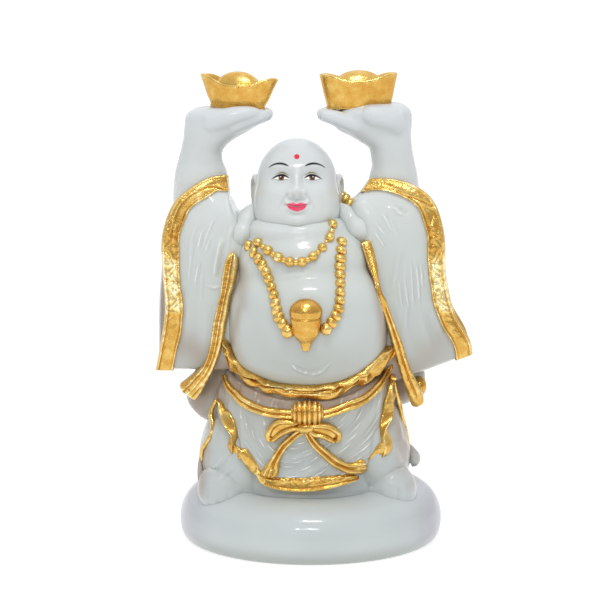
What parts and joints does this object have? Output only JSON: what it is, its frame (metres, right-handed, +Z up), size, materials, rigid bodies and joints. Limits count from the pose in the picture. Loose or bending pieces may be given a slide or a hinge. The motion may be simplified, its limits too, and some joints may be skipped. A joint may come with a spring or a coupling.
{
  "type": "laughing monk figurine",
  "caption": "Standing laughing monk figurine: round base, open robe over a bare belly, bead necklace with a gourd pendant, and a boat-shaped ingot on each raised palm.",
  "frame": {"origin": "centre of the base's flat underside", "axes": "+Z up; the figure faces -Y; +X is to the right of someone who looks at its face"},
  "size_m": [0.0996, 0.0844, 0.1501],
  "materials": {
    "resin": "marble-dust resin, polished and clear-coated, slightly translucent greenish white",
    "gold_paint": "bronze-powder gold paint brushed onto the raised relief, semi-gloss with fine strokes"
  },
  "bodies": {
    "root": {"figurine": "resin"}
  },
  "joints": []
}
